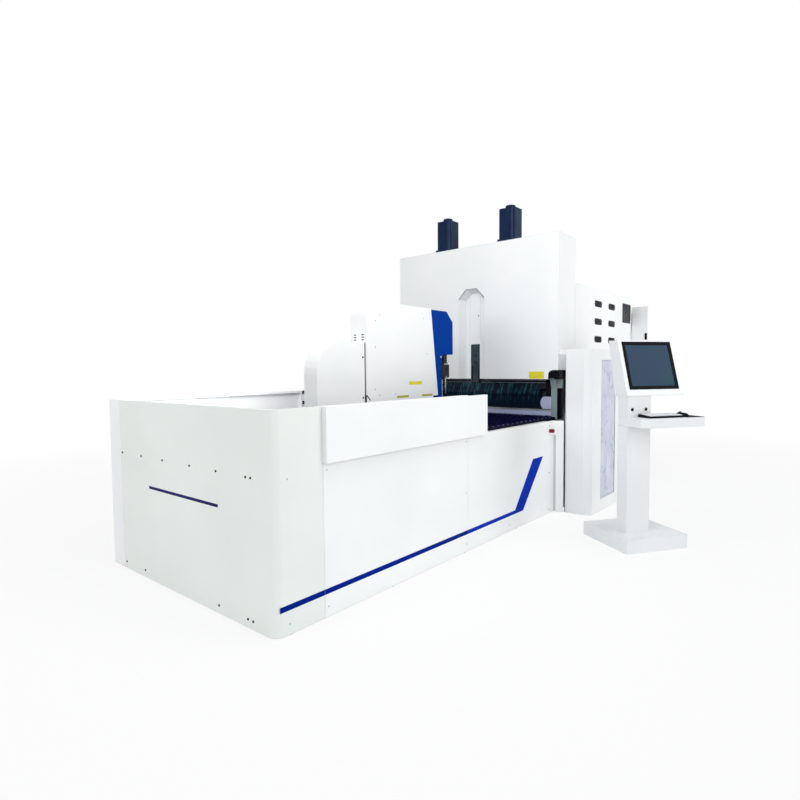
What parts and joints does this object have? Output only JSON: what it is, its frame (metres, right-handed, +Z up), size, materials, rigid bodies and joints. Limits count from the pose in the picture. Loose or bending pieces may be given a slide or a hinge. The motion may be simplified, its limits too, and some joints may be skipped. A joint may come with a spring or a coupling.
{
  "type": "panel bending center",
  "caption": "Automatic sheet-metal panel bender: fenced loading table with a travelling C-arm manipulator, white press, rear enclosure, side guard and a free-standing operator console.",
  "frame": {"origin": "on the floor, on the machine's centre plane, straight under the bend line", "axes": "+X towards the operator's side, +Y along the feed from the loading table into the press, +Z up"},
  "size_m": [3.1871, 5.7943, 2.956],
  "materials": {
    "white_paint": "semi-gloss white powder coat",
    "blue_paint": "gloss blue coat",
    "frame_paint": "dark navy satin coat",
    "press_paint": "grey-teal satin coat",
    "bed_paint": "grey-blue satin coat",
    "mech_paint": "dark blue-grey satin coat",
    "machine_steel": "ground steel",
    "tool_steel": "blued hardened steel",
    "motor_paint": "gloss dark navy coat",
    "dark_paint": "near-black satin coat",
    "black_plastic": "fine-grain moulded",
    "key_plastic": "matt keycaps",
    "brush_bristle": "dark bristle strips",
    "red_plastic": "smooth moulded",
    "yellow_plastic": "smooth moulded",
    "screen_glass": "dark display front",
    "guard_film": "pale lavender clear sheet"
  },
  "bodies": {
    "machine": {"base_frame": "frame_paint", "levelling_feet": "machine_steel", "front_wall": "white_paint", "far_side_wall": "white_paint", "near_side_panel": "white_paint", "press_side_panels": "white_paint", "upper_side_cover": "white_paint", "estop_panel": "white_paint", "estop_base": "yellow_plastic", "table_halves": "frame_paint", "brush_strips": "brush_bristle", "feed_rails": "machine_steel", "feed_motor": "motor_paint", "side_frames": "press_paint", "press_crown": "press_paint", "press_front_cover": "white_paint", "press_hood": "white_paint", "lift_motors": "motor_paint", "motor_caps": "motor_paint", "lower_beam": "bed_paint", "counter_blade": "machine_steel", "bed_cheeks": "bed_paint", "beam_guides": "dark_paint", "rear_enclosure": "white_paint", "rear_side_right": "white_paint", "vent_grilles": "frame_paint", "cabinet_shell": "white_paint", "guard_box": "white_paint", "guard_window": "guard_film", "console_base": "white_paint", "console_post": "white_paint", "console_tray": "white_paint", "monitor_housing": "white_paint", "monitor_bezel": "black_plastic", "monitor_screen": "screen_glass", "keyboard_case": "black_plastic", "keyboard_keys": "key_plastic", "mouse": "black_plastic"},
    "feed_spindle": {"feed_screw": "machine_steel"},
    "feed_carriage": {"carriage_plate": "mech_paint", "arm_frame": "blue_paint", "arm_cover": "white_paint", "rear_housing": "white_paint", "press_cylinder": "mech_paint"},
    "clamp_ram": {"gripper_ram": "machine_steel"},
    "clamp_head": {"gripper_head": "black_plastic"},
    "lower_disc": {"turntable": "machine_steel"},
    "blankholder": {"blankholder_beam": "press_paint", "tool_clamp_strip": "machine_steel", "blankholder_tools": "tool_steel"},
    "centre_slider": {"centre_rod": "mech_paint"},
    "lift_spindle_left": {"lift_screw_left": "machine_steel"},
    "lift_spindle_right": {"lift_screw_right": "machine_steel"},
    "bending_carriage": {"bend_carriage": "mech_paint"},
    "bending_frame": {"bend_frame": "mech_paint", "bend_blades": "tool_steel"},
    "stop_button": {"estop_button": "red_plastic"},
    "rear_door_leaf": {"rear_door": "white_paint"},
    "hatch_door": {"cabinet_door": "white_paint"},
    "hatch_handle": {"cabinet_handle": "black_plastic"}
  },
  "joints": [
    {"name": "feed_slide", "type": "slide", "parent": "machine", "child": "feed_carriage", "axis": [0, 1, 0], "range_m": [-0.95, 0.46]},
    {"name": "feed_screw_turn", "type": "hinge", "parent": "machine", "child": "feed_spindle", "pos_m": [0, -1.5, 0.2], "axis": [0, 1, 0], "range_deg": [-17105, 8285]},
    {"name": "clamp_slide", "type": "slide", "parent": "feed_carriage", "child": "clamp_ram", "axis": [0, 0, 1], "range_m": [-0.064, 0.17]},
    {"name": "clamp_head_turn", "type": "hinge", "parent": "clamp_ram", "child": "clamp_head", "pos_m": [0, -0.651, 1.02], "axis": [0, 0, 1], "continuous": true},
    {"name": "lower_disc_turn", "type": "hinge", "parent": "feed_carriage", "child": "lower_disc", "pos_m": [0, -0.651, 0.9], "axis": [0, 0, 1], "continuous": true},
    {"name": "blankholder_lift", "type": "slide", "parent": "machine", "child": "blankholder", "axis": [0, 0, 1], "range_m": [-0.002, 0.18]},
    {"name": "centre_slider_lift", "type": "slide", "parent": "blankholder", "child": "centre_slider", "axis": [0, 0, 1], "range_m": [0, 0.06]},
    {"name": "lift_screw_left_turn", "type": "hinge", "parent": "machine", "child": "lift_spindle_left", "pos_m": [-0.378, 0.01, 2], "axis": [0, 0, 1], "range_deg": [-40, 3250]},
    {"name": "lift_screw_right_turn", "type": "hinge", "parent": "machine", "child": "lift_spindle_right", "pos_m": [0.378, 0.01, 2], "axis": [0, 0, 1], "range_deg": [-40, 3250]},
    {"name": "bending_in_out", "type": "slide", "parent": "machine", "child": "bending_carriage", "axis": [0, 1, 0], "range_m": [-0.002, 0.12]},
    {"name": "bending_up_down", "type": "slide", "parent": "bending_carriage", "child": "bending_frame", "axis": [0, 0, 1], "range_m": [-0.058, 0.058]},
    {"name": "stop_press", "type": "slide", "parent": "machine", "child": "stop_button", "axis": [1, 0, 0], "range_m": [-0.006, 0]},
    {"name": "rear_door_swing", "type": "hinge", "parent": "machine", "child": "rear_door_leaf", "pos_m": [-0.897, 1.944, 1.05], "axis": [0, 0, 1], "range_deg": [0, 110]},
    {"name": "hatch_door_swing", "type": "hinge", "parent": "machine", "child": "hatch_door", "pos_m": [0.96, 1.9463, 1.05], "axis": [0, 0, 1], "range_deg": [0, 90]},
    {"name": "hatch_handle_turn", "type": "hinge", "parent": "hatch_door", "child": "hatch_handle", "pos_m": [1.121, 1.9343, 1.706], "axis": [0, 1, 0], "range_deg": [0, 90]}
  ],
  "couplings": [
    {"joint": "feed_screw_turn", "follows": "feed_slide", "rad_per_m": 314.16},
    {"joint": "clamp_head_turn", "follows": "lower_disc_turn", "ratio": 1},
    {"joint": "lift_screw_left_turn", "follows": "blankholder_lift", "rad_per_m": 314.16},
    {"joint": "lift_screw_right_turn", "follows": "blankholder_lift", "rad_per_m": 314.16}
  ]
}
